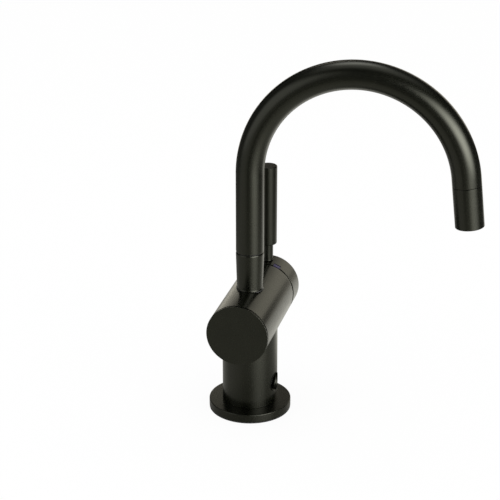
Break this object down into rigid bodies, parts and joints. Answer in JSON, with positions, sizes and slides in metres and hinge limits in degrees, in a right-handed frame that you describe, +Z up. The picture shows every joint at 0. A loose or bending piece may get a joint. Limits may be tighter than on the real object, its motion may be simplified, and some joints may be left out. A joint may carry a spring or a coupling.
{
  "type": "instant hot water faucet",
  "caption": "Satin black sink-deck tap for filtered hot and cold water: gooseneck spout that swivels, horizontal valve barrel and upright side lever.",
  "frame": {"origin": "centre of the stud thread in the deck plane, on the column's axis, where the base gasket rests", "axes": "+Z up the column and spout post, +X the way the spout reaches at rest, +Y along the valve barrel to its lever end"},
  "size_m": [0.1777, 0.0915, 0.2444],
  "materials": {
    "black": "satin",
    "brass": "satin",
    "copper": "satin",
    "steel": "satin",
    "black_steel": "satin",
    "rubber": "matte",
    "ceramic": "matte",
    "white_plastic": "matte",
    "black_plastic": "matte",
    "cold_blue": "satin",
    "hot_red": "satin"
  },
  "bodies": {
    "tap_body": {"base_gasket": "rubber", "base_flange": "black", "deck_anchor": "brass", "column": "black", "lock_bush": "black_plastic", "lock_screw": "black_steel", "cold_supply_tube": "copper", "tank_feed_tube": "copper", "hot_return_tube": "copper", "barrel": "black", "front_cap": "black", "front_cap_seal": "rubber", "valve_body": "brass", "cartridge_body": "white_plastic", "fixed_disc": "ceramic", "cartridge_nut": "brass", "return_spring": "steel", "collar_washer": "rubber", "collar": "black", "swivel_bushing": "black_plastic"},
    "lever": {"lever_hub": "black", "hub_screw": "black_steel", "cold_mark": "cold_blue", "hot_mark": "hot_red", "lever_stem": "black", "lever_grip": "black", "spindle": "brass", "spindle_seals": "rubber", "moving_disc": "ceramic"},
    "spout": {"spout_tube": "black", "swivel_spigot": "brass", "swivel_seals": "rubber", "spout_clip": "steel", "nozzle": "black", "nozzle_seal": "rubber", "stream_washer": "rubber", "stream_insert": "black_plastic"}
  },
  "joints": [
    {"name": "lever_turn", "type": "hinge", "parent": "tap_body", "child": "lever", "pos_m": [0, 0.04905, 0.0669], "axis": [0, 1, 0], "range_deg": [-40, 40], "stiffness_Nm_per_rad": 0.3},
    {"name": "spout_swivel", "type": "hinge", "parent": "tap_body", "child": "spout", "pos_m": [0, 0, 0.112], "axis": [0, 0, 1], "continuous": true}
  ]
}
